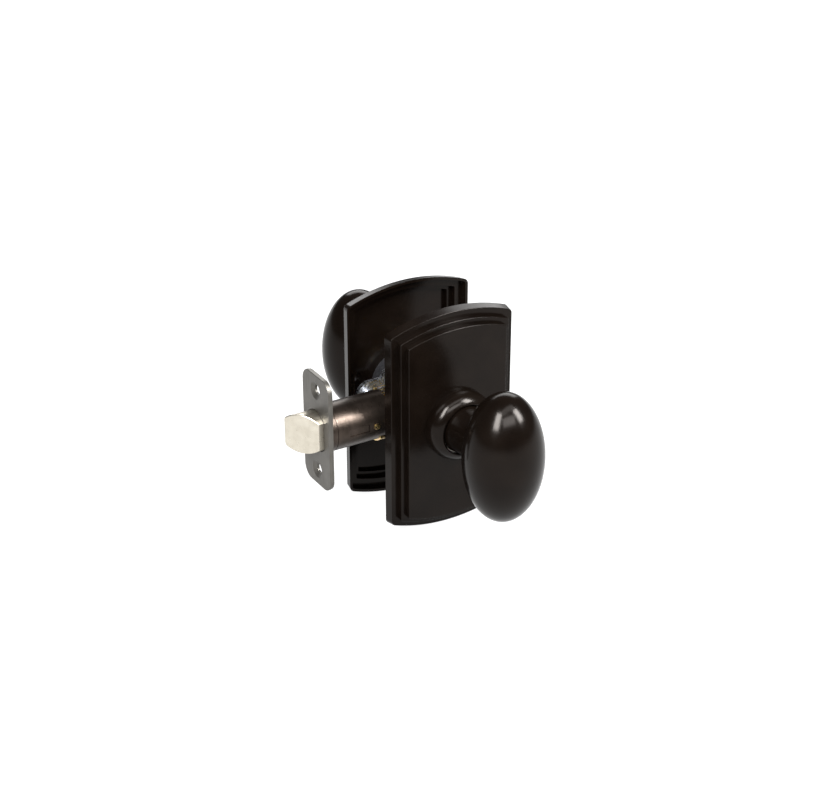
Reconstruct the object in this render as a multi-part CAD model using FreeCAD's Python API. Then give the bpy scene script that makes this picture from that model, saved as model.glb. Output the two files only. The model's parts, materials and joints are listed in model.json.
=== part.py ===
import FreeCAD, Part
import math
import os
from FreeCAD import Vector

# Passage door knob set with egg knobs, tall stepped roses and a tubular spring latch. Millimetres.
# Origin: where the spindle's axis crosses the latch's axis, in the middle of the door's thickness.
# +Y runs along the spindle to the room side, -X along the latch to the door's edge, +Z is up.
# Trim pieces are drawn once, for the +Y side, with y measured from the middle of the door.

# Door preparation
DOOR_THICKNESS = 35.0
BACKSET = 60.3
BOLT_THROW = 12.7
POST_SPACING = 41.3

# Rose: a stamped sheet shell with two steps inside its rim
ROSE_HALF_WIDTH = 33.5
ROSE_CORNER_HEIGHT = 49.1
ROSE_ARC_RISE = 6.5
ROSE_CORNER_RADIUS = 3.2
TIER_CORNER_RADIUS = 1.0
ROSE_SHEET = 1.2
ROSE_DRAFT = 0.8
ROSE_STEPS = ((0.0, 4.6), (3.5, 2.9), (2.65, 2.65))     # (ledge width before it, height) of each tier
ROSE_EDGE_ROUND = 0.3
ROSE_HOLE = 15.0

# Collar, knob and shank
COLLAR_BASE = 17.3
COLLAR_RIM = 13.2
COLLAR_HEIGHT = 8.3
COLLAR_BORE = 12.5
COLLAR_FOOT = 0.9
COLLAR_SPIGOT = 2.6
COLLAR_EDGE_ROUND = 0.3
BUSHING_RECESS = 3.0
KNOB_RADIUS = 19.2
KNOB_HALF_HEIGHT = 32.2
KNOB_CENTRE = 66.0
KNOB_WALL = 2.0
NECK_ROOT = 12.15
NECK_WAIST = 10.6
NECK_RECESS = 2.6
WAIST_TO_EGG = 3.0
SHANK_RADIUS = 9.0
SHANK_PROUD = 1.2
SHANK_INTO_EGG = 4.0
SOCKET_END_WALL = 6.0
SPINDLE_SQUARE = 7.0
PIN_RADIUS = 1.15
PIN_IN_COLLAR = 3.0
SET_SCREW_RADIUS = 2.0
SET_SCREW_TO_EGG = 5.0
SET_SCREW_SOCKET = 1.15
SQUARE_GAP = 0.1
RUNNING_GAP = 0.05
FREE_GAP = 0.35

# Retaining ring, return spring and mounting plates
GROOVE_DEPTH = 0.8
GROOVE_WIDTH = 1.1
GROOVE_TO_FACE = 0.2
SNAP_RING_WIDTH = 2.2
CUP_RADIUS = 16.0
CUP_WALL = 1.0
DRIVER_RADIUS = 13.4
DRIVER_WALL = 0.9
DRIVER_GAP = 0.3
DRIVER_TAB = 1.6
DRIVER_TAB_HALF_WIDTH = 2.0
RETURN_SPRING_RADIUS = 11.4
RETURN_SPRING_WIRE = 1.0
RETURN_SPRING_LEG = 2.6
PLATE_TO_FACE = 1.5
PLATE_THICKNESS = 2.3
PLATE_END_RADIUS = 7.0
POST_RADIUS = 4.0
POST_TIP = 11.0
POST_TENON = 3.0
THREAD_RADIUS = 2.5
SCREW_TIP = -6.0
SCREW_HEAD_RADIUS = 4.3
SCREW_HEAD_HEIGHT = 2.4

# Latch
FACE_WIDTH = 25.4
FACE_HEIGHT = 57.15
FACE_CORNER = 6.35
FACE_THICKNESS = 1.3
BACK_THICKNESS = 1.0
SCREW_SPACING = 41.3
SCREW_HOLE = 2.3
SCREW_SINK = 4.5
TUBE_RADIUS = 11.4
TUBE_WALL = 1.0
TUBE_END = -26.0
COLLAR_END = -54.5
CASE_LIP_RADIUS = 12.25
CASE_LIP_START = -31.0
BOLT_RADIUS = 10.0
BOLT_FLAT = 7.4
BOLT_REAR = -50.5
CASE_INNER = 5.2
CASE_PLATE = 1.2
CASE_HALF_HEIGHT = 10.6
CASE_FRONT = -37.0
CASE_REAR = 26.2
HUB_RADIUS = 8.0
JOURNAL_RADIUS = 6.5
FINGER_LEAN_DEG = 35.0
FINGER_LENGTH = 13.5
FINGER_HALF_WIDTH = 1.6
TAIL_INNER = 3.6
TAIL_PLATE = 1.2
CROSSBAR_HEIGHT = 11.0
CROSSBAR_RADIUS = 1.2
RIVET_X = -34.3
RIVET_RADIUS = 1.5
CASE_RIVET_X = 14.5
CASE_RIVET_Z = 8.0
CASE_RIVET_RADIUS = 1.2
CASE_RIVET_HEAD = 1.9
SEAT_FRONT = -27.2
SEAT_THICKNESS = 1.6
SEAT_HALF_HEIGHT = 5.4
SPRING_GUIDE_RADIUS = 2.1
SPRING_GUIDE_LENGTH = 6.0
BOLT_BORE = 3.9
BOLT_BORE_END = -60.0
SPRING_RADIUS = 3.0
SPRING_WIRE = 0.8
SPRING_COILS = 12

# Derived places
DOOR_FACE = DOOR_THICKNESS / 2
ROSE_FIELD = DOOR_FACE + sum(height for _, height in ROSE_STEPS)
FIELD_INNER = ROSE_FIELD - ROSE_SHEET
COLLAR_TOP = ROSE_FIELD + COLLAR_HEIGHT
PLATE_BACK = DOOR_FACE + PLATE_TO_FACE
PLATE_FRONT = PLATE_BACK + PLATE_THICKNESS
EGG_START = KNOB_CENTRE - KNOB_RADIUS
NECK_END = EGG_START + KNOB_RADIUS / 2
SHANK_START = DOOR_FACE - SHANK_PROUD
SHANK_END = EGG_START + SHANK_INTO_EGG
GROOVE_START = DOOR_FACE + GROOVE_TO_FACE
GROOVE_RADIUS = SHANK_RADIUS - GROOVE_DEPTH
SPINDLE_END = SHANK_END - SOCKET_END_WALL - 1.0
PIN_Y = ROSE_FIELD + PIN_IN_COLLAR
SET_SCREW_Y = EGG_START - SET_SCREW_TO_EGG
FACE_BACK = -BACKSET + FACE_THICKNESS
LATCH_BACK = FACE_BACK + BACK_THICKNESS
POST_X = POST_SPACING / 2
BOLT_TIP = -BACKSET - BOLT_THROW
X_AXIS, Y_AXIS, Z_AXIS = Vector(1, 0, 0), Vector(0, 1, 0), Vector(0, 0, 1)
ORIGIN = Vector(0, 0, 0)

parts = {}


def box(low, high):
    """A box between two corners."""
    return Part.makeBox(high[0] - low[0], high[1] - low[1], high[2] - low[2], Vector(*low))


def rod_y(radius, y0, y1, x=0.0, z=0.0):
    """A cylinder along Y."""
    return Part.makeCylinder(radius, y1 - y0, Vector(x, y0, z), Y_AXIS)


def rod_x(radius, x0, x1, y=0.0, z=0.0):
    """A cylinder along X."""
    return Part.makeCylinder(radius, x1 - x0, Vector(x0, y, z), X_AXIS)


def ring_y(outer, inner, y0, y1):
    """A ring round the Y axis."""
    return rod_y(outer, y0, y1).cut(rod_y(inner, y0 - 1, y1 + 1))


def ring_x(outer, inner, x0, x1):
    """A ring round the X axis."""
    return rod_x(outer, x0, x1).cut(rod_x(inner, x0 - 1, x1 + 1))


def turned_y(edges):
    """Turn a closed outline, drawn in the XY plane, round the Y axis."""
    return Part.Face(Part.Wire(edges)).revolve(ORIGIN, Y_AXIS, 360)


def line(start, end):
    """A straight edge in the XY plane."""
    return Part.LineSegment(Vector(*start, 0), Vector(*end, 0)).toShape()


def arc(start, middle, end):
    """An arc through three points in the XY plane."""
    return Part.Arc(Vector(*start, 0), Vector(*middle, 0), Vector(*end, 0)).toShape()


def polygon_prism(points, y0, y1):
    """A prism along Y over a polygon of (x, z) points."""
    corners = [Vector(x, y0, z) for x, z in points + points[:1]]
    return Part.Face(Part.makePolygon(corners)).extrude(Vector(0, y1 - y0, 0))


def square_bar(width, y0, y1):
    """A square bar on the spindle's axis."""
    half = width / 2
    return box((-half, y0, -half), (half, y1, half))


def other_side(shape):
    """The same piece on the -Y side of the door."""
    turned = shape.copy()
    turned.rotate(ORIGIN, Z_AXIS, 180)
    return turned


def coil(radius, wire, pitch, length):
    """A helical spring along +Z from the origin, with its wire as a solid."""
    path = Part.Wire(Part.makeHelix(pitch, length, radius))
    section = Part.Wire(Part.makeCircle(wire / 2, Vector(radius, 0, 0), Y_AXIS))
    return path.makePipeShell([section], True, True)


# ---------------------------------------------------------------- rose

def rose_wire(inset, y):
    """The rose's outline, drawn in by inset: straight sides, bowed top and bottom, round corners."""
    bow = (ROSE_HALF_WIDTH ** 2 + ROSE_ARC_RISE ** 2) / (2 * ROSE_ARC_RISE)
    centre = ROSE_CORNER_HEIGHT + ROSE_ARC_RISE - bow
    width = ROSE_HALF_WIDTH - inset
    bow = bow - inset
    corner = max(ROSE_CORNER_RADIUS - inset, TIER_CORNER_RADIUS)
    corner_x = width - corner
    corner_z = centre + math.sqrt((bow - corner) ** 2 - corner_x ** 2)
    lean = math.atan2(corner_x, corner_z - centre)
    bow_end = (bow * math.sin(lean), centre + bow * math.cos(lean))
    half_turn = (lean + math.pi / 2) / 2
    corner_mid = (corner_x + corner * math.sin(half_turn), corner_z + corner * math.cos(half_turn))

    def point(x, z):
        return Vector(x, y, z)

    edges = []
    for side in (1, -1):
        edges += [
            Part.LineSegment(point(side * width, -side * corner_z), point(side * width, side * corner_z)),
            Part.Arc(point(side * width, side * corner_z),
                     point(side * corner_mid[0], side * corner_mid[1]),
                     point(side * bow_end[0], side * bow_end[1])),
            Part.Arc(point(side * bow_end[0], side * bow_end[1]),
                     point(0, side * (centre + bow)),
                     point(-side * bow_end[0], side * bow_end[1])),
            Part.Arc(point(-side * bow_end[0], side * bow_end[1]),
                     point(-side * corner_mid[0], side * corner_mid[1]),
                     point(-side * width, side * corner_z)),
        ]
    return Part.Wire([edge.toShape() for edge in edges])


def rose_block(offset, rim):
    """The rose as a solid block of tiers, every wall moved in by offset."""
    inset = ROSE_DRAFT + offset
    top = DOOR_FACE + ROSE_STEPS[0][1] - offset
    block = Part.makeLoft([rose_wire(offset, rim), rose_wire(inset, top)], True, True)
    for ledge, height in ROSE_STEPS[1:]:
        inset += ledge
        tier = Part.Face(rose_wire(inset, top - ROSE_SHEET)).extrude(Vector(0, height + ROSE_SHEET, 0))
        block = block.fuse(tier)
        top += height
    return block.removeSplitter()


def tier_edges(block):
    """The edges where each tier's top face meets its wall."""
    inset = ROSE_DRAFT
    top = DOOR_FACE
    picked = []
    for ledge, height in ROSE_STEPS:
        inset += ledge
        top += height
        outline = rose_wire(inset, top)
        for edge in block.Edges:
            middle = edge.valueAt((edge.FirstParameter + edge.LastParameter) / 2)
            if outline.distToShape(Part.Vertex(middle))[0] < 0.01:
                picked.append(edge)
    return picked


def rose():
    block = rose_block(0.0, DOOR_FACE)
    block = block.makeFillet(ROSE_EDGE_ROUND, tier_edges(block))
    hollow = rose_block(ROSE_SHEET, DOOR_FACE - 1.0)
    shell = block.cut(hollow)
    return shell.cut(rod_y(ROSE_HOLE, DOOR_FACE, ROSE_FIELD + 1))


# ---------------------------------------------------------------- collar, bushing, knob and shank

def collar():
    spigot = ROSE_HOLE - RUNNING_GAP
    bottom = ROSE_FIELD - COLLAR_SPIGOT
    foot = ROSE_FIELD + COLLAR_FOOT
    lean = math.radians(40)
    shoulder = (COLLAR_RIM + (COLLAR_BASE - COLLAR_RIM) * math.cos(lean),
                foot + (COLLAR_TOP - foot) * math.sin(lean))
    body = turned_y([
        line((COLLAR_BORE, bottom), (spigot, bottom)),
        line((spigot, bottom), (spigot, ROSE_FIELD)),
        line((spigot, ROSE_FIELD), (COLLAR_BASE, ROSE_FIELD)),
        line((COLLAR_BASE, ROSE_FIELD), (COLLAR_BASE, foot)),
        arc((COLLAR_BASE, foot), shoulder, (COLLAR_RIM, COLLAR_TOP)),
        line((COLLAR_RIM, COLLAR_TOP), (COLLAR_BORE, COLLAR_TOP)),
        line((COLLAR_BORE, COLLAR_TOP), (COLLAR_BORE, bottom)),
    ])
    rim = [edge for edge in body.Edges if edge.BoundBox.YMin > COLLAR_TOP - 0.01]
    return body.makeFillet(COLLAR_EDGE_ROUND, rim)


def bushing():
    outer = COLLAR_BORE - RUNNING_GAP
    return ring_y(outer, SHANK_RADIUS + RUNNING_GAP, FIELD_INNER, COLLAR_TOP - BUSHING_RECESS)


def egg(radius, half_height):
    """An egg of revolution about the vertical line through the knob's centre."""
    centre = Vector(0, KNOB_CENTRE, 0)
    top = Vector(0, KNOB_CENTRE, half_height)
    side = Vector(0, KNOB_CENTRE + radius, 0)
    outline = Part.Ellipse(top, side, centre)
    upper = Part.ArcOfEllipse(outline, 0, math.pi / 2).toShape()
    lower = Part.ArcOfEllipse(outline, math.pi / 2, math.pi).toShape()
    axis_line = Part.LineSegment(Vector(0, KNOB_CENTRE, -half_height), top).toShape()
    return Part.Face(Part.Wire([upper, lower, axis_line])).revolve(centre, Z_AXIS, 360)


def knob():
    """The knob's hollow egg, with a round hole for its neck."""
    hollow = egg(KNOB_RADIUS - KNOB_WALL, KNOB_HALF_HEIGHT - KNOB_WALL)
    shell = egg(KNOB_RADIUS, KNOB_HALF_HEIGHT).cut(hollow)
    return shell.cut(rod_y(NECK_WAIST + RUNNING_GAP, COLLAR_TOP, KNOB_CENTRE))


def knob_neck():
    """The sleeve between the collar and the egg: it narrows to a waist and runs on into the egg."""
    start = COLLAR_TOP - NECK_RECESS
    bore = SHANK_RADIUS + RUNNING_GAP
    waist_y = EGG_START - WAIST_TO_EGG
    flank = ((NECK_ROOT + NECK_WAIST) / 2 - 0.25, (COLLAR_TOP + waist_y) / 2)
    return turned_y([
        line((bore, start), (NECK_ROOT, start)),
        line((NECK_ROOT, start), (NECK_ROOT, COLLAR_TOP)),
        arc((NECK_ROOT, COLLAR_TOP), flank, (NECK_WAIST, waist_y)),
        line((NECK_WAIST, waist_y), (NECK_WAIST, NECK_END)),
        line((NECK_WAIST, NECK_END), (bore, NECK_END)),
        line((bore, NECK_END), (bore, start)),
    ])


def shank():
    body = rod_y(SHANK_RADIUS, SHANK_START, SHANK_END)
    body = body.cut(square_bar(SPINDLE_SQUARE + SQUARE_GAP, SHANK_START - 1, SHANK_END - SOCKET_END_WALL))
    return body.cut(ring_y(SHANK_RADIUS + 1, GROOVE_RADIUS, GROOVE_START, GROOVE_START + GROOVE_WIDTH))


def snap_ring():
    """An open retaining ring in the shank's groove, behind the mounting plate."""
    start = GROOVE_START + 0.05
    outer = SHANK_RADIUS + SNAP_RING_WIDTH
    body = ring_y(outer, GROOVE_RADIUS + RUNNING_GAP, start, start + GROOVE_WIDTH - 0.1)
    mouth = box((-3.0, start - 1, -outer - 1), (3.0, start + GROOVE_WIDTH, 2 - GROOVE_RADIUS))
    return body.cut(mouth)


# ---------------------------------------------------------------- return spring and mounting plate

def spring_cup():
    """The steel cup that holds the return spring against the inside of the rose."""
    body = ring_y(CUP_RADIUS, CUP_RADIUS - CUP_WALL, PLATE_FRONT, FIELD_INNER)
    floor = ring_y(CUP_RADIUS, ROSE_HOLE + RUNNING_GAP, FIELD_INNER - CUP_WALL, FIELD_INNER)
    return body.fuse(floor).removeSplitter()


def return_spring():
    """An open ring of spring wire whose two bent-out ends hold the driver's tab between them."""
    y = PLATE_FRONT + DRIVER_GAP + DRIVER_TAB / 2
    wire = RETURN_SPRING_WIRE / 2
    leg_x = DRIVER_TAB_HALF_WIDTH + wire + 0.15
    half_mouth = math.degrees(math.asin(leg_x / RETURN_SPRING_RADIUS))
    leg_z = RETURN_SPRING_RADIUS * math.cos(math.radians(half_mouth))
    section = Part.Face(Part.Wire(Part.makeCircle(wire, Vector(RETURN_SPRING_RADIUS, y, 0), Z_AXIS)))
    body = section.revolve(ORIGIN, Y_AXIS, 360 - 2 * half_mouth)
    body.rotate(ORIGIN, Y_AXIS, half_mouth - 90)
    for x in (-leg_x, leg_x):
        body = body.fuse(Part.makeSphere(wire, Vector(x, y, leg_z)))
        body = body.fuse(Part.makeCylinder(wire, RETURN_SPRING_LEG, Vector(x, y, leg_z), Z_AXIS))
    return body.removeSplitter()


def spring_driver():
    """The tabbed ring, keyed on the shank, that winds the return spring."""
    start = PLATE_FRONT + DRIVER_GAP
    bore = SHANK_RADIUS + RUNNING_GAP
    body = ring_y(bore + DRIVER_WALL, bore, start, FIELD_INNER - 0.4)
    tab = box((-DRIVER_TAB_HALF_WIDTH, start, bore + 0.5),
              (DRIVER_TAB_HALF_WIDTH, start + DRIVER_TAB, DRIVER_RADIUS))
    return body.fuse(tab).removeSplitter()


def mounting_plate(fastener_hole):
    """An oblong plate with a round middle, drawn towards the other side's by the through bolts."""
    body = rod_y(CUP_RADIUS, PLATE_BACK, PLATE_FRONT)
    body = body.fuse(box((-POST_X, PLATE_BACK, -PLATE_END_RADIUS), (POST_X, PLATE_FRONT, PLATE_END_RADIUS)))
    for side in (-1, 1):
        body = body.fuse(rod_y(PLATE_END_RADIUS, PLATE_BACK, PLATE_FRONT, side * POST_X))
    body = body.removeSplitter()
    for side in (-1, 1):
        body = body.cut(rod_y(fastener_hole, PLATE_BACK - 1, PLATE_FRONT + 1, side * POST_X))
    return body.cut(rod_y(SHANK_RADIUS + FREE_GAP, PLATE_BACK - 1, PLATE_FRONT + 1))


def mounting_posts():
    """Two threaded posts riveted into the outside plate."""
    posts = []
    for side in (-1, 1):
        x = side * POST_X
        post = rod_y(POST_RADIUS, -PLATE_BACK, POST_TIP, x)
        post = post.fuse(rod_y(POST_TENON - RUNNING_GAP, -PLATE_FRONT - 0.6, -PLATE_BACK, x))
        post = post.cut(rod_y(THREAD_RADIUS, -10.0, POST_TIP + 1, x))
        posts.append(post.removeSplitter())
    return Part.makeCompound(posts)


def through_bolts():
    """Two machine screws, from the inside plate into the posts."""
    screws = []
    top = PLATE_FRONT + SCREW_HEAD_HEIGHT
    cross_floor = top - 1.1
    for side in (-1, 1):
        x = side * POST_X
        screw = rod_y(THREAD_RADIUS - 0.1, SCREW_TIP, PLATE_FRONT, x)
        head = rod_y(SCREW_HEAD_RADIUS, PLATE_FRONT, top, x)
        rim = [edge for edge in head.Edges if edge.BoundBox.YMin > top - 0.01]
        head = head.makeFillet(0.9, rim)
        screw = screw.fuse(head).removeSplitter()
        screw = screw.cut(box((x - 3.0, cross_floor, -0.5), (x + 3.0, top + 1, 0.5)))
        screws.append(screw.cut(box((x - 0.5, cross_floor, -3.0), (x + 0.5, top + 1, 3.0))))
    return Part.makeCompound(screws)


# ---------------------------------------------------------------- spindle and its fastenings

def spindle():
    return square_bar(SPINDLE_SQUARE, -SPINDLE_END, SPINDLE_END).cut(shank_pin_hole())


def shank_pin_hole():
    return rod_x(PIN_RADIUS + RUNNING_GAP, -SHANK_RADIUS - 1, SHANK_RADIUS + 1, -PIN_Y)


def shank_pin():
    """The cross pin that holds the spindle in the outside shank."""
    return rod_x(PIN_RADIUS, -SHANK_RADIUS + 0.3, SHANK_RADIUS - 0.3, -PIN_Y)


def set_screw_hole():
    """The grub screw's hole: through the neck and the shank, into the spindle's socket."""
    radius = SET_SCREW_RADIUS + RUNNING_GAP
    depth = NECK_ROOT - SPINDLE_SQUARE / 2
    return Part.makeCylinder(radius, depth, Vector(0, SET_SCREW_Y, -NECK_ROOT), Z_AXIS)


def set_screw():
    """The grub screw in the neck of the inside knob, with a hexagon socket."""
    low = -NECK_WAIST + 0.2
    high = -SPINDLE_SQUARE / 2 - SQUARE_GAP
    screw = Part.makeCylinder(SET_SCREW_RADIUS, high - low, Vector(0, SET_SCREW_Y, low), Z_AXIS)
    corners = []
    for k in range(7):
        turn = math.radians(60 * k)
        x = SET_SCREW_SOCKET * math.cos(turn)
        y = SET_SCREW_Y + SET_SCREW_SOCKET * math.sin(turn)
        corners.append(Vector(x, y, low - 1))
    socket = Part.Face(Part.makePolygon(corners)).extrude(Vector(0, 0, 2.6))
    return screw.cut(socket)


# ---------------------------------------------------------------- latch

def face_plate_blank(x0, thickness, width, height, corner):
    """An upright plate with round corners."""
    plate = box((x0, -width / 2, -height / 2), (x0 + thickness, width / 2, height / 2))
    corners = [edge for edge in plate.Edges if abs(edge.BoundBox.XLength - thickness) < 0.01]
    return plate.makeFillet(corner, corners)


def bolt_opening(x0, x1):
    """The round opening with two flats that the bolt slides through."""
    flat = BOLT_FLAT + 0.3
    slab = box((x0, -flat, -BOLT_RADIUS - 2), (x1, flat, BOLT_RADIUS + 2))
    return rod_x(BOLT_RADIUS + 0.4, x0, x1).common(slab)


def screw_holes(x0, x1):
    holes = [rod_x(SCREW_HOLE, x0, x1, 0, side * SCREW_SPACING / 2) for side in (-1, 1)]
    return holes[0].fuse(holes[1])


def faceplate():
    plate = face_plate_blank(-BACKSET, FACE_THICKNESS, FACE_WIDTH, FACE_HEIGHT, FACE_CORNER)
    front = [edge for edge in plate.Edges if edge.BoundBox.XMax < -BACKSET + 0.01]
    plate = plate.makeFillet(0.3, front)
    plate = plate.cut(bolt_opening(-BACKSET - 1, FACE_BACK + 1))
    plate = plate.cut(screw_holes(-BACKSET - 1, FACE_BACK + 1))
    for side in (-1, 1):
        sink = Part.makeCone(SCREW_SINK, SCREW_HOLE, FACE_THICKNESS * 0.9,
                             Vector(-BACKSET, 0, side * SCREW_SPACING / 2), X_AXIS)
        plate = plate.cut(sink)
    return plate


def backplate():
    inset = 0.25
    plate = face_plate_blank(FACE_BACK, BACK_THICKNESS, FACE_WIDTH - 2 * inset, FACE_HEIGHT - 2 * inset,
                             FACE_CORNER - inset)
    plate = plate.cut(rod_x(TUBE_RADIUS + RUNNING_GAP, FACE_BACK - 1, LATCH_BACK + 1))
    return plate.cut(screw_holes(FACE_BACK - 1, LATCH_BACK + 1))


def tube_collar():
    """The short ring between the faceplate and the tube, through the backplate."""
    ring = ring_x(TUBE_RADIUS, TUBE_RADIUS - TUBE_WALL, FACE_BACK, COLLAR_END)
    rear = [edge for edge in ring.Edges
            if edge.BoundBox.XMin > COLLAR_END - 0.01 and edge.BoundBox.ZMax > TUBE_RADIUS - 0.5]
    return ring.makeChamfer(0.3, rear)


def tube():
    body = ring_x(TUBE_RADIUS, TUBE_RADIUS - TUBE_WALL, COLLAR_END, TUBE_END)
    body = body.cut(box((-48.5, -TUBE_RADIUS - 1, -2.0), (-38.0, 0.8 - TUBE_RADIUS, 2.0)))
    return body.cut(tube_pin_hole())


def tube_pin_hole():
    return rod_y(RIVET_RADIUS + RUNNING_GAP, -20, 20, RIVET_X)


def tube_pins():
    """Two rivets through the tube and the case's tongues."""
    pins = []
    for side in (-1, 1):
        low, high = sorted((side * CASE_INNER, side * (TUBE_RADIUS + 0.5)))
        pins.append(rod_y(RIVET_RADIUS, low, high, RIVET_X))
    return Part.makeCompound(pins)


def case_lip(side):
    """The curved lip of a side plate that laps under the end of the tube."""
    lip = ring_x(CASE_LIP_RADIUS, TUBE_RADIUS + RUNNING_GAP, CASE_LIP_START, TUBE_END + 0.8)
    low, high = sorted((side * 0.2, side * 9.0))
    return lip.common(box((CASE_LIP_START, low, -CASE_LIP_RADIUS), (TUBE_END + 0.8, high, 0)))


def case_plate(side):
    """One side plate of the latch case, with a tongue inside the tube and a lip outside it."""
    tongue = 7.4
    outline = [
        (CASE_FRONT, -tongue), (TUBE_END + 0.1, -tongue), (TUBE_END + 0.1, -CASE_HALF_HEIGHT),
        (CASE_REAR - 4, -CASE_HALF_HEIGHT), (CASE_REAR, -CASE_HALF_HEIGHT + 4),
        (CASE_REAR, CASE_HALF_HEIGHT - 4), (CASE_REAR - 4, CASE_HALF_HEIGHT),
        (TUBE_END + 0.1, CASE_HALF_HEIGHT), (TUBE_END + 0.1, tongue), (CASE_FRONT, tongue),
    ]
    low, high = sorted((side * CASE_INNER, side * (CASE_INNER + CASE_PLATE)))
    plate = polygon_prism(outline, low, high).fuse(case_lip(side)).removeSplitter()
    plate = plate.cut(rod_y(JOURNAL_RADIUS + RUNNING_GAP, low - 1, high + 1))
    for end in (-1, 1):
        plate = plate.cut(rod_y(POST_RADIUS + FREE_GAP, low - 1, high + 1, end * POST_X))
    for x, z in case_rivet_places():
        plate = plate.cut(rod_y(CASE_RIVET_RADIUS + RUNNING_GAP, low - 1, high + 1, x, z))
    return plate.cut(tube_pin_hole())


def case_rivet_places():
    return [(CASE_RIVET_X, -CASE_RIVET_Z), (CASE_RIVET_X, CASE_RIVET_Z)]


def case_rivets():
    """Two shouldered rivets that hold the side plates apart."""
    rivets = []
    outer = CASE_INNER + CASE_PLATE
    for x, z in case_rivet_places():
        rivet = rod_y(CASE_RIVET_HEAD, -CASE_INNER, CASE_INNER, x, z)
        rivet = rivet.fuse(rod_y(CASE_RIVET_RADIUS, -outer, outer, x, z))
        for low, high in ((-outer - 0.7, -outer), (outer, outer + 0.7)):
            rivet = rivet.fuse(rod_y(CASE_RIVET_HEAD, low, high, x, z))
        rivets.append(rivet.removeSplitter())
    return Part.makeCompound(rivets)


def spring_seat():
    """The fixed stop behind the bolt spring, with a stub that guides the spring."""
    low = (SEAT_FRONT, -CASE_INNER, -SEAT_HALF_HEIGHT)
    high = (SEAT_FRONT + SEAT_THICKNESS, CASE_INNER, SEAT_HALF_HEIGHT)
    guide = rod_x(SPRING_GUIDE_RADIUS, SEAT_FRONT - SPRING_GUIDE_LENGTH, SEAT_FRONT)
    return box(low, high).fuse(guide).removeSplitter()


def bolt_spring():
    length = SEAT_FRONT - BOLT_BORE_END - SPRING_WIRE - 0.1
    body = coil(SPRING_RADIUS, SPRING_WIRE, length / SPRING_COILS, length)
    body.rotate(ORIGIN, Y_AXIS, 90)
    body.translate(Vector(BOLT_BORE_END + SPRING_WIRE / 2 + 0.05, 0, 0))
    return body


def bolt():
    """The spring bolt: a round bar with two flats, bevelled on the side that meets the strike."""
    bevel_start = -BACKSET - 2.5
    tip_blunt = 1.2
    outline = [
        Vector(BOLT_REAR, -BOLT_FLAT, 0), Vector(bevel_start, -BOLT_FLAT, 0),
        Vector(BOLT_TIP, BOLT_FLAT - tip_blunt, 0), Vector(BOLT_TIP, BOLT_FLAT, 0),
        Vector(BOLT_REAR, BOLT_FLAT, 0), Vector(BOLT_REAR, -BOLT_FLAT, 0),
    ]
    prism = Part.Face(Part.makePolygon(outline)).extrude(Vector(0, 0, 2 * BOLT_RADIUS + 2))
    prism.translate(Vector(0, 0, -BOLT_RADIUS - 1))
    body = rod_x(BOLT_RADIUS, BOLT_TIP - 1, BOLT_REAR).common(prism)
    front = [edge for edge in body.Edges if edge.BoundBox.XMax < -BACKSET and edge.BoundBox.YLength > 0.5]
    body = body.makeFillet(0.5, front)
    return body.cut(rod_x(BOLT_BORE, BOLT_BORE_END, BOLT_REAR + 1))


def bolt_tail():
    """The fork that the hub pulls: two plates, a front bridge on the bolt, and two crossbars."""
    bridge_end = BOLT_REAR + 3.0
    neck_half = 8.4
    slot_half = 7.0
    slot_start = SEAT_FRONT - BOLT_THROW - 0.7
    arm_start = TUBE_END + 1.0
    crossbar_x = crossbar_place()
    arm_end = crossbar_x + 2.0
    width = TAIL_INNER + TAIL_PLATE
    tail = box((BOLT_REAR, -width, -neck_half), (bridge_end, width, neck_half))
    for side in (-1, 1):
        low, high = sorted((side * TAIL_INNER, side * (TAIL_INNER + TAIL_PLATE)))
        tail = tail.fuse(box((bridge_end, low, -neck_half), (arm_start, high, neck_half)))
        tail = tail.fuse(box((arm_start, low, -CROSSBAR_HEIGHT), (arm_end, high, CROSSBAR_HEIGHT)))
    for side in (-1, 1):
        tail = tail.fuse(rod_y(CROSSBAR_RADIUS, -width, width, crossbar_x, side * CROSSBAR_HEIGHT))
    tail = tail.cut(box((slot_start, -width - 1, -slot_half), (arm_end + 1, width + 1, slot_half)))
    return tail.cut(rod_x(BOLT_BORE, BOLT_REAR - 1, bridge_end + 1)).removeSplitter()


def crossbar_place():
    """Where a crossbar just clears the leading flank of the leaning finger."""
    lean = math.radians(FINGER_LEAN_DEG)
    reach = FINGER_HALF_WIDTH + CROSSBAR_RADIUS
    return reach / math.cos(lean) - CROSSBAR_HEIGHT * math.tan(lean) + FREE_GAP


def hub():
    """The hub that the spindle turns: two leaning fingers between two journals."""
    inner = TAIL_INNER - 0.3
    outer = CASE_INNER + CASE_PLATE + 0.2
    body = rod_y(HUB_RADIUS, -inner, inner)
    tip = FINGER_LENGTH - FINGER_HALF_WIDTH
    finger = box((-FINGER_HALF_WIDTH, -inner, 0), (FINGER_HALF_WIDTH, inner, tip))
    finger = finger.fuse(rod_y(FINGER_HALF_WIDTH, -inner, inner, 0, tip))
    for turn in (-FINGER_LEAN_DEG, 180 + FINGER_LEAN_DEG):
        leaning = finger.copy()
        leaning.rotate(ORIGIN, Y_AXIS, turn)
        body = body.fuse(leaning)
    body = body.fuse(rod_y(JOURNAL_RADIUS, -outer, outer)).removeSplitter()
    return body.cut(square_bar(SPINDLE_SQUARE + SQUARE_GAP, -outer - 1, outer + 1))


# ---------------------------------------------------------------- the assembly

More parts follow.
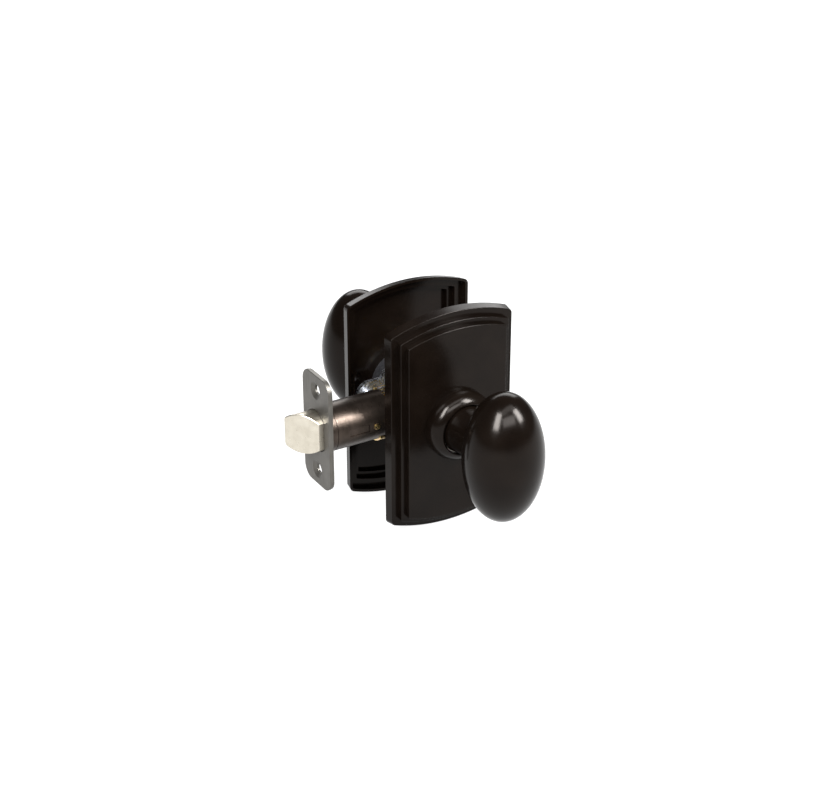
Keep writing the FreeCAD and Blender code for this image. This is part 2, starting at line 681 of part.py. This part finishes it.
def add_trim():
    """Both sides' trim: what the two sides share, then what differs."""
    shared = {
        "rose": rose(), "rose_collar": collar(), "shank_bushing": bushing(), "snap_ring": snap_ring(),
        "knob": knob(),
        "spring_cup": spring_cup(), "return_spring": return_spring(), "spring_driver": spring_driver(),
    }
    for name, shape in shared.items():
        parts["inside_" + name] = shape
        parts["outside_" + name] = other_side(shape)
    parts["inside_knob_neck"] = knob_neck().cut(set_screw_hole())
    parts["outside_knob_neck"] = other_side(knob_neck())
    parts["inside_knob_shank"] = shank().cut(set_screw_hole())
    parts["outside_knob_shank"] = other_side(shank()).cut(shank_pin_hole())
    parts["inside_mounting_plate"] = mounting_plate(THREAD_RADIUS + 0.2)
    parts["outside_mounting_plate"] = other_side(mounting_plate(POST_TENON))
    parts["mounting_posts"] = mounting_posts()
    parts["through_bolts"] = through_bolts()
    parts["spindle"] = spindle()
    parts["outside_shank_pin"] = shank_pin()
    parts["inside_set_screw"] = set_screw()


def add_latch():
    parts["latch_faceplate"] = faceplate()
    parts["latch_backplate"] = backplate()
    parts["latch_tube_collar"] = tube_collar()
    parts["latch_tube"] = tube()
    parts["latch_tube_pins"] = tube_pins()
    parts["latch_case_outside"] = case_plate(-1)
    parts["latch_case_inside"] = case_plate(1)
    parts["latch_case_rivets"] = case_rivets()
    parts["latch_spring_seat"] = spring_seat()
    parts["latch_bolt_spring"] = bolt_spring()
    parts["latch_bolt"] = bolt()
    parts["latch_bolt_tail"] = bolt_tail()
    parts["latch_hub"] = hub()


add_trim()
add_latch()
os.makedirs("parts", exist_ok=True)
for name, shape in parts.items():
    shape.exportStep(os.path.join("parts", name + ".step"))
    print(name, len(shape.Solids), "solid(s)", "valid" if shape.isValid() else "NOT VALID",
          round(shape.Volume), "mm3")
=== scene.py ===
import json
import math

import bmesh
import bpy
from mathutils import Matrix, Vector


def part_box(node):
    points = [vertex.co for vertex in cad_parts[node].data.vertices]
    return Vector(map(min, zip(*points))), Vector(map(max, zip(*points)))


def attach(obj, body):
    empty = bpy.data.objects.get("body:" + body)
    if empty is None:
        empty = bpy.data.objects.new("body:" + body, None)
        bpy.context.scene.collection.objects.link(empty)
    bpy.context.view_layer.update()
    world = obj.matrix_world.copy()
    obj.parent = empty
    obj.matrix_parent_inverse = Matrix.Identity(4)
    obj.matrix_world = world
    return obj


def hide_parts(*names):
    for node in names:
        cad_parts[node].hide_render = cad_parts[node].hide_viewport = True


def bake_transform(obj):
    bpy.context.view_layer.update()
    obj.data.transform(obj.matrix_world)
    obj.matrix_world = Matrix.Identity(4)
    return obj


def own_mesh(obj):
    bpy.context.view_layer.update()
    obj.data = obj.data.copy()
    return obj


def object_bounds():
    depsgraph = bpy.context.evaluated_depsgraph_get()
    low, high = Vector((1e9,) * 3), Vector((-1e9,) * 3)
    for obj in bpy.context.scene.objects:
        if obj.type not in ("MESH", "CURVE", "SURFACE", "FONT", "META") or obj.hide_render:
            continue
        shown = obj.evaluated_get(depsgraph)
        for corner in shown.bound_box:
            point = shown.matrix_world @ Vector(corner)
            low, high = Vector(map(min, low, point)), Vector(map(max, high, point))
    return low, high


# A door knob set: dark bronze egg knobs on stepped roses, and a tubular spring latch. Metres.
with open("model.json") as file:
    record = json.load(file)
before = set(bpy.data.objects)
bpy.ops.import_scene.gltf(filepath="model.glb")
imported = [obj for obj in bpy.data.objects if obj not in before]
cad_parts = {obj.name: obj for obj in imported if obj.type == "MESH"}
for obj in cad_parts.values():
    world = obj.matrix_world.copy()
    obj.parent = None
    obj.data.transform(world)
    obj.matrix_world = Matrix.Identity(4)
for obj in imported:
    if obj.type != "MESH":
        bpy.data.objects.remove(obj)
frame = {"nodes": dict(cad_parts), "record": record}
CAD_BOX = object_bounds()

MM = 0.001

# Camera, as seen from the latch side and from above
CAMERA_AZIMUTH = -30.9
CAMERA_ELEVATION = 27.03
CAMERA_DISTANCE = 0.8774
CAMERA_SIDESTEP = -0.0047
CAMERA_NEAR_CLIP = 0.01
LENS = 78.78
SENSOR = 36.0

# Knob mesh
RING_POINTS = 160
NECK_ROWS = 10
FILLET_ROWS = 6
EGG_ROWS = 72
FILLET = 1.1 * MM
NECK_NARROWING = 1.55 * MM
NECK_END_TO_EGG = 1.9 * FILLET

# Studio: softboxes as (name, azimuth, elevation, distance, width, height, watts)
SOFTBOXES = (
    ("left_window", -57, 41, 1.1, 0.32, 0.62, 40.0),
    ("right_window", 38, 39, 1.1, 0.30, 0.50, 34.0),
    ("front_glow", -9, 40, 1.2, 0.85, 0.35, 14.0),
    ("top_front", 5, 66, 1.3, 1.0, 0.35, 7.0),
    ("back_light", 149, 30, 1.3, 1.3, 0.6, 13.0),
)
WORLD_STRENGTH = 0.10
FLOOR_HALF_WIDTH = 6.0
FLOOR_CELLS = 24
FLOOR_GLOW = 0.93


def direction(azimuth, elevation):
    """A unit vector towards that azimuth (0 is -Y, 90 is +X) and elevation, in degrees."""
    a = math.radians(azimuth)
    e = math.radians(elevation)
    return Vector((math.sin(a) * math.cos(e), -math.cos(a) * math.cos(e), math.sin(e)))


# ---------------------------------------------------------------- materials

class Surface:
    """A Principled material with short ways to add noise, ramps and bump to it."""

    def __init__(self, name, metallic, specular=0.5, tint=(1.0, 1.0, 1.0)):
        self.material = bpy.data.materials.new(name)
        self.material.use_nodes = True
        self.tree = self.material.node_tree
        self.shader = self.tree.nodes["Principled BSDF"]
        self.shader.inputs["Metallic"].default_value = metallic
        self.shader.inputs["Specular IOR Level"].default_value = specular
        self.shader.inputs["Specular Tint"].default_value = (*tint, 1.0)
        self.place = self.tree.nodes.new("ShaderNodeTexCoord").outputs["Object"]

    def link(self, output, target):
        self.tree.links.new(output, target)

    def stretched(self, scale):
        """Coordinates scaled along each axis, for grain that runs one way."""
        mapping = self.tree.nodes.new("ShaderNodeMapping")
        mapping.inputs["Scale"].default_value = scale
        self.link(self.place, mapping.inputs["Vector"])
        return mapping.outputs["Vector"]

    def noise(self, scale, detail=3.0, place=None):
        node = self.tree.nodes.new("ShaderNodeTexNoise")
        node.inputs["Scale"].default_value = scale
        node.inputs["Detail"].default_value = detail
        self.link(place or self.place, node.inputs["Vector"])
        return node.outputs["Fac"]

    def ramp(self, value, stops):
        """Colours or greys over a value: stops are (position, (r, g, b))."""
        node = self.tree.nodes.new("ShaderNodeValToRGB")
        while len(node.color_ramp.elements) < len(stops):
            node.color_ramp.elements.new(0.5)
        for element, (position, colour) in zip(node.color_ramp.elements, stops):
            element.position = position
            element.color = (*colour, 1.0)
        self.link(value, node.inputs["Fac"])
        return node.outputs["Color"]

    def colour(self, value, stops):
        self.link(self.ramp(value, stops), self.shader.inputs["Base Color"])

    def roughness(self, value, low, high):
        node = self.tree.nodes.new("ShaderNodeMapRange")
        node.inputs["From Min"].default_value = 0.3
        node.inputs["From Max"].default_value = 0.7
        node.inputs["To Min"].default_value = low
        node.inputs["To Max"].default_value = high
        self.link(value, node.inputs["Value"])
        self.link(node.outputs["Result"], self.shader.inputs["Roughness"])

    def bump(self, value, strength, depth):
        node = self.tree.nodes.new("ShaderNodeBump")
        node.inputs["Strength"].default_value = strength
        node.inputs["Distance"].default_value = depth
        self.link(value, node.inputs["Height"])
        self.link(node.outputs["Normal"], self.shader.inputs["Normal"])


def dark_bronze():
    """The near-black satin coating of the knobs, roses and collars."""
    s = Surface("dark_bronze_coating", metallic=0.0, specular=0.105, tint=(1.0, 0.93, 0.88))
    s.colour(s.noise(70.0, 4.0), [(0.35, (0.0016, 0.0010, 0.0007)), (0.7, (0.0026, 0.0017, 0.0012))])
    s.roughness(s.noise(420.0, 5.0), 0.17, 0.21)
    s.bump(s.noise(2600.0, 2.0), 0.10, 0.004 * MM)
    return s.material


def face_bronze():
    """The thinner, greyer satin coat on the latch's faceplate."""
    s = Surface("faceplate_bronze", metallic=0.85)
    s.colour(s.noise(160.0, 4.0), [(0.3, (0.068, 0.064, 0.057)), (0.75, (0.088, 0.083, 0.075))])
    s.roughness(s.noise(900.0, 5.0, s.stretched((1.0, 1.0, 0.12))), 0.36, 0.46)
    s.bump(s.noise(2600.0, 3.0), 0.12, 0.006 * MM)
    return s.material


def tube_bronze():
    """Bronze plate on drawn tube, with faint rings from drawing and polishing."""
    s = Surface("tube_bronze_plate", metallic=0.9)
    rings = s.noise(260.0, 4.0, s.stretched((12.0, 1.0, 1.0)))
    s.colour(s.noise(210.0, 5.0), [(0.3, (0.026, 0.0195, 0.0150)), (0.7, (0.042, 0.032, 0.026))])
    s.roughness(rings, 0.26, 0.42)
    s.bump(rings, 0.10, 0.006 * MM)
    return s.material


def satin_nickel():
    """The bolt's nickel plate, finely brushed along its length."""
    s = Surface("satin_nickel_plate", metallic=1.0)
    grain = s.noise(1500.0, 4.0, s.stretched((0.10, 1.0, 1.0)))
    s.colour(s.noise(240.0, 3.0), [(0.3, (0.46, 0.425, 0.355)), (0.7, (0.54, 0.505, 0.43))])
    s.roughness(grain, 0.26, 0.40)
    s.bump(grain, 0.12, 0.005 * MM)
    return s.material


def zinc_steel():
    """Bright zinc plate, faintly blue, with a fine mottle."""
    s = Surface("bright_zinc_plate", metallic=1.0)
    s.colour(s.noise(520.0, 5.0), [(0.3, (0.55, 0.57, 0.61)), (0.7, (0.71, 0.73, 0.77))])
    s.roughness(s.noise(700.0, 4.0), 0.20, 0.36)
    s.bump(s.noise(1400.0, 3.0), 0.10, 0.004 * MM)
    return s.material


def yellow_zinc():
    """Yellow chromate over zinc, which shifts from straw to faint pink."""
    s = Surface("yellow_zinc_plate", metallic=1.0)
    s.colour(s.noise(260.0, 4.0), [
        (0.30, (0.60, 0.43, 0.16)), (0.52, (0.72, 0.55, 0.24)), (0.72, (0.66, 0.46, 0.30))])
    s.roughness(s.noise(800.0, 4.0), 0.22, 0.36)
    s.bump(s.noise(1500.0, 3.0), 0.10, 0.004 * MM)
    return s.material


def spring_steel():
    """Oiled black spring steel."""
    s = Surface("black_spring_steel", metallic=0.9)
    s.colour(s.noise(600.0, 4.0), [(0.3, (0.045, 0.046, 0.052)), (0.7, (0.090, 0.090, 0.096))])
    s.roughness(s.noise(1200.0, 4.0), 0.28, 0.42)
    s.bump(s.noise(2200.0, 3.0), 0.12, 0.004 * MM)
    return s.material


def white_nylon():
    """Moulded natural nylon."""
    s = Surface("white_nylon", metallic=0.0)
    s.colour(s.noise(200.0, 3.0), [(0.3, (0.74, 0.72, 0.65)), (0.7, (0.80, 0.78, 0.72))])
    s.roughness(s.noise(900.0, 4.0), 0.42, 0.55)
    s.bump(s.noise(1600.0, 3.0), 0.12, 0.008 * MM)
    return s.material


def paint_cad_nodes(materials):
    """Give every CAD node the material of its slot in the record."""
    slots = {part["node"]: part["material_slot"] for part in frame["record"]["subparts"]}
    for name, node in frame["nodes"].items():
        node.data.materials.clear()
        node.data.materials.append(materials[slots[name]])


# ---------------------------------------------------------------- knobs

def knob_rings(neck, egg_low, egg_high, side):
    """The knob's rings round the spindle, as (radius, y) in every direction: neck, fillet, then egg.

    Also gives the rings' directions and how far out the egg's front is."""
    centre = (egg_low + egg_high) / 2
    half_width = (egg_high.x - egg_low.x) / 2
    half_depth = (egg_high.y - egg_low.y) / 2
    half_height = (egg_high.z - egg_low.z) / 2
    root = neck["root"]
    waist = neck["waist"]

    def egg_point(turn, swing):
        """The egg at an angle round the spindle, swung from its back (0) to its front (pi)."""
        widest = 1 / math.hypot(math.cos(turn) / half_width, math.sin(turn) / half_height)
        radius = widest * math.sin(swing)
        return radius, side * centre.y - half_depth * math.cos(swing), widest

    rings = []
    for step in range(NECK_ROWS + 1):
        share = step / NECK_ROWS
        y = neck["start"] + (neck["waist_y"] - neck["start"]) * share
        ease = share * (2 - share)
        rings.append([(root + (waist - root) * ease, y)] * RING_POINTS)
    turns = [2 * math.pi * k / RING_POINTS for k in range(RING_POINTS)]
    joints = []
    for turn in turns:
        widest = egg_point(turn, 0.0)[2]
        swing = math.asin(waist / widest)
        leave = swing + FILLET / half_depth
        start = (waist, egg_point(turn, swing)[1] - FILLET)
        corner = (waist, egg_point(turn, swing)[1])
        end = egg_point(turn, leave)[:2]
        joints.append((start, corner, end, leave))
    for step in range(FILLET_ROWS + 1):
        t = step / FILLET_ROWS
        ring = []
        for start, corner, end, _ in joints:
            ring.append(tuple(
                (1 - t) ** 2 * a + 2 * t * (1 - t) * b + t * t * c for a, b, c in zip(start, corner, end)))
        rings.append(ring)
    for step in range(1, EGG_ROWS):
        t = step / EGG_ROWS
        ring = []
        for turn, (_, _, _, leave) in zip(turns, joints):
            ring.append(egg_point(turn, leave + (math.pi - leave) * t)[:2])
        rings.append(ring)
    return turns, rings, side * centre.y + half_depth


def build_knob(name, side):
    """One smooth mesh for an egg knob and its neck. side is -1 outside and 1 inside."""
    egg_low, egg_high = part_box(name)
    neck_low, neck_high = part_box(name + "_neck")
    egg_back = min(abs(egg_low.y), abs(egg_high.y))
    neck = {
        "start": min(abs(neck_low.y), abs(neck_high.y)),
        "waist_y": egg_back - NECK_END_TO_EGG,
        "root": neck_high.x,
        "waist": neck_high.x - NECK_NARROWING,
    }
    turns, rings, front = knob_rings(neck, egg_low, egg_high, side)
    mesh = bmesh.new()
    rows = []
    for ring in rings:
        row = []
        for turn, (radius, y) in zip(turns, ring):
            row.append(mesh.verts.new((radius * math.cos(turn), side * y, radius * math.sin(turn))))
        rows.append(row)
    for low, high in zip(rows, rows[1:]):
        for k in range(RING_POINTS):
            after = (k + 1) % RING_POINTS
            mesh.faces.new((low[k], low[after], high[after], high[k]))
    tip = mesh.verts.new((0.0, side * front, 0.0))
    for k in range(RING_POINTS):
        mesh.faces.new((rows[-1][k], rows[-1][(k + 1) % RING_POINTS], tip))
    mesh.faces.new(rows[0])
    bmesh.ops.recalc_face_normals(mesh, faces=mesh.faces)
    data = bpy.data.meshes.new(name + "_turned")
    mesh.to_mesh(data)
    mesh.free()
    for polygon in data.polygons:
        polygon.use_smooth = len(polygon.vertices) <= 4
    knob = bpy.data.objects.new(name + "_turned", data)
    bpy.context.scene.collection.objects.link(knob)
    return knob


def add_knobs(materials):
    """Both knobs, each in place of its CAD egg and neck."""
    for name, side in (("outside_knob", -1), ("inside_knob", 1)):
        knob = build_knob(name, side)
        knob.data.materials.append(materials["dark_bronze"])
        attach(knob, "knobs")
        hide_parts(name, name + "_neck")


# ---------------------------------------------------------------- springs

def spring_copy(name, materials):
    """A spring's own mesh as a new piece in black spring steel, in place of its hidden CAD node."""
    node = frame["nodes"][name]
    spring = bpy.data.objects.new(name + "_wound", node.data.copy())
    spring.matrix_world = node.matrix_world
    bpy.context.scene.collection.objects.link(spring)
    spring.data.materials.clear()
    spring.data.materials.append(materials["black_spring_steel"])
    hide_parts(name)
    return spring


def add_bolt_spring(materials):
    """The bolt's spring, copied as a piece of its own and attached to the trim."""
    spring = spring_copy("latch_bolt_spring", materials)
    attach(spring, "trim")
    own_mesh(spring)


def add_return_springs(materials):
    """The return springs, each copied as a piece of its own with its placement baked into its mesh."""
    for name in ("outside_return_spring", "inside_return_spring"):
        spring = spring_copy(name, materials)
        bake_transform(spring)


# ---------------------------------------------------------------- studio

def add_camera():
    """The camera, aimed along its azimuth and elevation, then moved sideways by CAMERA_SIDESTEP."""
    back = direction(CAMERA_AZIMUTH, CAMERA_ELEVATION)
    right = Vector((-back.y, back.x, 0.0)).normalized()
    data = bpy.data.cameras.new("camera")
    data.lens = LENS
    data.sensor_width = SENSOR
    data.clip_start = CAMERA_NEAR_CLIP
    camera = bpy.data.objects.new("camera", data)
    camera.location = back * CAMERA_DISTANCE + right * CAMERA_SIDESTEP
    camera.rotation_mode = "QUATERNION"
    camera.rotation_quaternion = (-back).to_track_quat("-Z", "Y")
    bpy.context.scene.collection.objects.link(camera)
    bpy.context.scene.camera = camera


def add_softbox(name, azimuth, elevation, distance, width, height, power):
    """A white rectangular soft light that faces the object."""
    data = bpy.data.lights.new(name, "AREA")
    data.shape = "RECTANGLE"
    data.size = width
    data.size_y = height
    data.energy = power
    light = bpy.data.objects.new(name, data)
    towards = direction(azimuth, elevation)
    light.location = towards * distance
    light.rotation_mode = "QUATERNION"
    light.rotation_quaternion = towards.to_track_quat("Z", "Y")
    bpy.context.scene.collection.objects.link(light)


def add_world():
    """A dim white surround."""
    world = bpy.data.worlds.new("studio")
    world.use_nodes = True
    background = world.node_tree.nodes["Background"]
    background.inputs["Color"].default_value = (1.0, 1.0, 1.0, 1.0)
    background.inputs["Strength"].default_value = WORLD_STRENGTH
    bpy.context.scene.world = world


def add_floor():
    """A wide pale light table under the roses' lowest point: white acrylic, lit from below."""
    mesh = bmesh.new()
    bmesh.ops.create_grid(mesh, x_segments=FLOOR_CELLS, y_segments=FLOOR_CELLS, size=FLOOR_HALF_WIDTH)
    data = bpy.data.meshes.new("floor")
    mesh.to_mesh(data)
    mesh.free()
    floor = bpy.data.objects.new("floor", data)
    floor.location.z = CAD_BOX[0].z
    bpy.context.scene.collection.objects.link(floor)
    s = Surface("pale_floor", metallic=0.0)
    s.colour(s.noise(3.0, 3.0), [(0.3, (0.095, 0.095, 0.095)), (0.7, (0.105, 0.105, 0.105))])
    s.shader.inputs["Emission Color"].default_value = (1.0, 1.0, 1.0, 1.0)
    s.shader.inputs["Emission Strength"].default_value = FLOOR_GLOW
    s.roughness(s.noise(20.0, 3.0), 0.85, 0.95)
    data.materials.append(s.material)


MATERIALS = {
    "dark_bronze": dark_bronze(),
    "face_bronze": face_bronze(),
    "tube_bronze": tube_bronze(),
    "satin_nickel": satin_nickel(),
    "zinc_steel": zinc_steel(),
    "yellow_zinc": yellow_zinc(),
    "black_spring_steel": spring_steel(),
    "white_nylon": white_nylon(),
}
bpy.context.scene.view_settings.view_transform = "Standard"
add_camera()
for softbox in SOFTBOXES:
    add_softbox(*softbox)
add_world()
add_floor()
paint_cad_nodes(MATERIALS)
add_knobs(MATERIALS)
add_bolt_spring(MATERIALS)
add_return_springs(MATERIALS)
